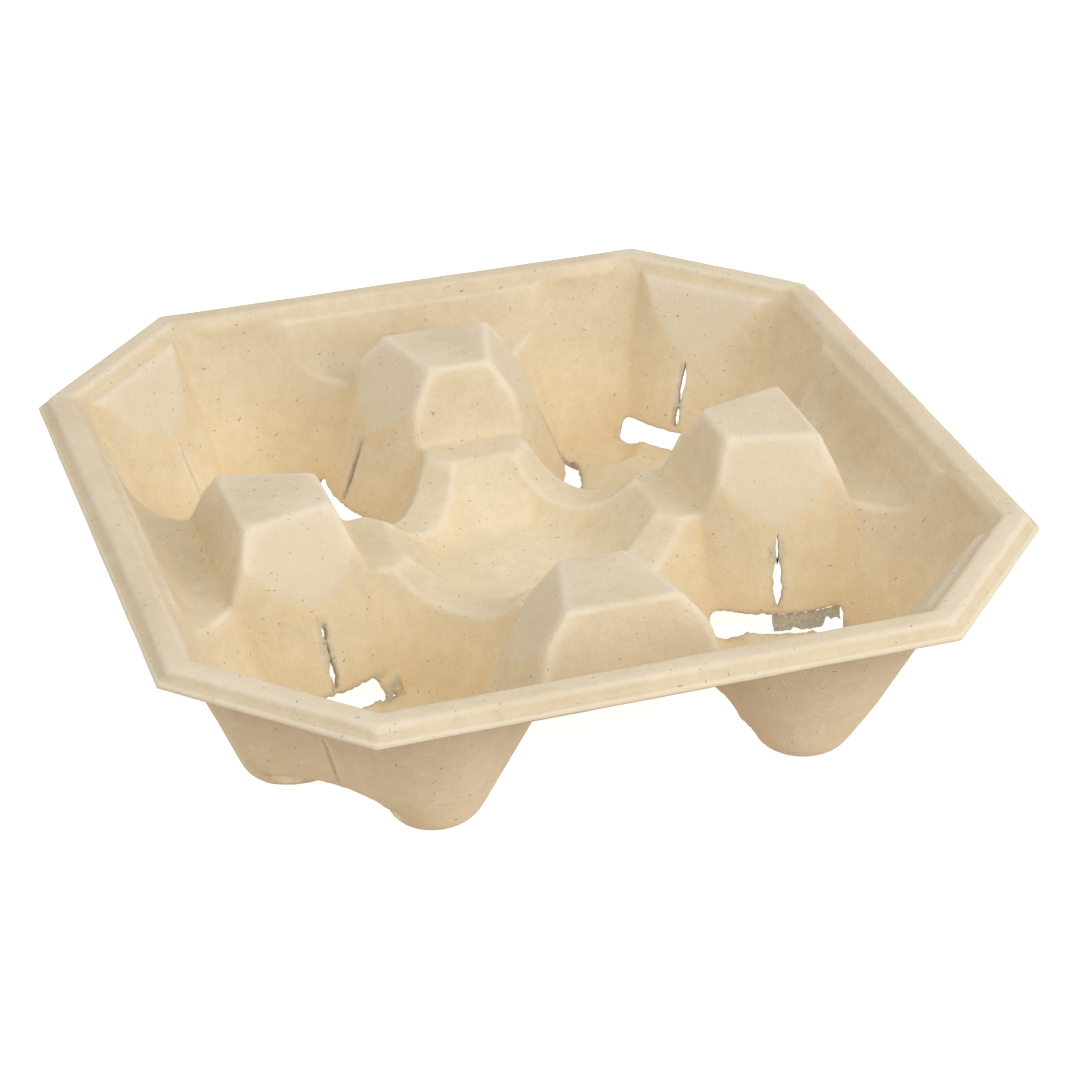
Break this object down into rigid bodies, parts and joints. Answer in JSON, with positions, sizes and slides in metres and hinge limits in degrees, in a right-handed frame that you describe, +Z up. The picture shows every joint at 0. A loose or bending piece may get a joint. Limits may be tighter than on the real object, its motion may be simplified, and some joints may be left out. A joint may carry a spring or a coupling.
{
  "type": "cup carrier",
  "caption": "Square tray of moulded paper pulp with chamfered corners; wells with slit pads between hollow posts grip takeaway drinks cups around a middle dish.",
  "frame": {"origin": "middle of the tray, on the surface that its feet stand on", "axes": "+Z up; X and Y run from the middle through the posts, square to the long sides of the rim; the wells lie on the diagonals"},
  "size_m": [0.215, 0.215, 0.048],
  "materials": {
    "pulp": "matte, faintly fibrous moulded paper pulp"
  },
  "bodies": {
    "root": {"carrier": "pulp"}
  },
  "joints": []
}
